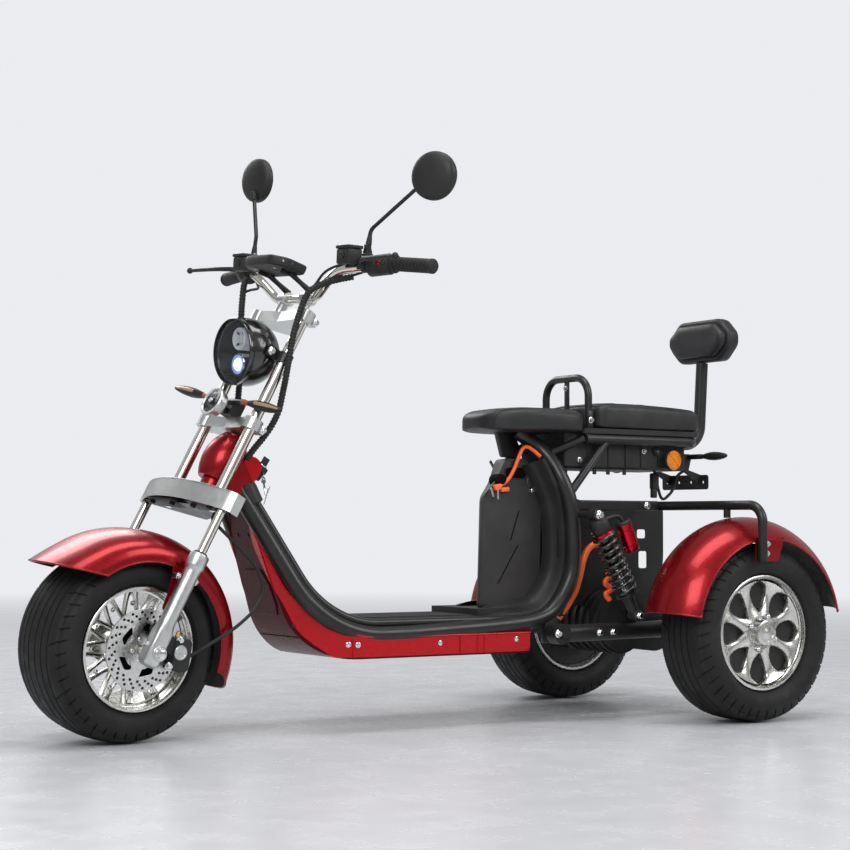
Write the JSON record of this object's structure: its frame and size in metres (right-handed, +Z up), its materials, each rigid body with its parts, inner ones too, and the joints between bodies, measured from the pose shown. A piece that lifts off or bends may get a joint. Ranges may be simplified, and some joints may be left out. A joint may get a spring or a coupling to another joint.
{
  "type": "three-wheeled electric scooter",
  "caption": "Low step-through electric scooter with a raked telescopic fork, wide front tyre, removable battery under the saddle and two sprung rear wheels under arched fenders.",
  "frame": {"origin": "on the ground, midway along the scooter's length, in its middle plane", "axes": "+X forward, the way it rides; +Y to the rider's left; +Z up"},
  "size_m": [2.0551, 1.0264, 1.4239],
  "materials": {
    "tyre_rubber": "matt",
    "polished_alloy": "polished",
    "disc_steel": "ground",
    "cast_alloy": "satin",
    "chrome": "mirror",
    "black_frame": "satin",
    "candy_red": "gloss metallic",
    "black_plastic": "matt",
    "battery_black": "satin",
    "seat_leather": "grained",
    "grip_rubber": "matt",
    "cast_black": "satin",
    "gloss_black": "gloss",
    "lamp_glass": "clear",
    "horn_silver": "satin",
    "amber_lens": "gloss",
    "red_lens": "gloss",
    "cable_orange": "satin",
    "shock_red": "gloss",
    "spring_black": "satin"
  },
  "bodies": {
    "frame": {"left_frame_tube": "black_frame", "right_frame_tube": "black_frame", "head_tube": "candy_red", "neck_cover": "candy_red", "cross_members": "black_frame", "belly_fairing": "candy_red", "footboard": "black_plastic", "battery_case": "battery_black", "battery_bay": "black_plastic", "battery_lead": "cable_orange", "saddle_bracket": "black_frame", "saddle": "seat_leather", "pillion_pad": "seat_leather", "seat_frame": "black_frame", "tail_box": "black_plastic", "grab_hoop": "black_frame", "backrest_post": "black_frame", "backrest_pad": "seat_leather", "side_reflectors": "amber_lens", "tail_lamp": "red_lens", "plate_bracket": "black_frame", "rear_signals": "amber_lens", "rear_rails": "black_frame", "fender_hoop": "black_frame", "rear_fenders": "candy_red", "axle_housing": "cast_black", "trailing_arms": "black_frame", "shock_bodies": "shock_red", "shock_springs": "spring_black", "power_cable": "cable_orange"},
    "steering": {"fork_sliders": "cast_alloy", "fork_tubes": "chrome", "steering_stem": "black_frame", "fork_shroud": "cast_alloy", "fork_yokes": "cast_alloy", "handlebar": "chrome", "grips": "grip_rubber", "bar_controls": "black_plastic", "mirrors": "black_plastic", "display": "black_plastic", "headlamp_bowl": "gloss_black", "headlamp_lens": "lamp_glass", "lamp_bracket": "black_frame", "horn": "horn_silver", "front_signals": "amber_lens", "front_fender": "candy_red", "front_axle": "chrome", "brake_caliper": "cast_black", "brake_hose": "grip_rubber", "wiring_loom": "grip_rubber"},
    "front_wheel": {"front_tyre": "tyre_rubber", "front_rim": "polished_alloy", "brake_disc": "disc_steel"},
    "left_wheel": {"left_tyre": "tyre_rubber", "left_rim": "polished_alloy"},
    "right_wheel": {"right_tyre": "tyre_rubber", "right_rim": "polished_alloy"}
  },
  "joints": [
    {"name": "steer", "type": "hinge", "parent": "frame", "child": "steering", "pos_m": [0.78021, 0, 0.20063], "axis": [-0.4695, 0, 0.8829], "range_deg": [-42.5, 27.5]},
    {"name": "front_wheel_spin", "type": "hinge", "parent": "steering", "child": "front_wheel", "pos_m": [0.81173, 0.0047, 0.21738], "axis": [-0.1152, 0.9914, -0.0613], "continuous": true},
    {"name": "left_wheel_spin", "type": "hinge", "parent": "frame", "child": "left_wheel", "pos_m": [-0.741, 0.3905, 0.2245], "axis": [0, 1, 0], "continuous": true},
    {"name": "right_wheel_spin", "type": "hinge", "parent": "frame", "child": "right_wheel", "pos_m": [-0.741, -0.3905, 0.2245], "axis": [0, 1, 0], "continuous": true}
  ]
}
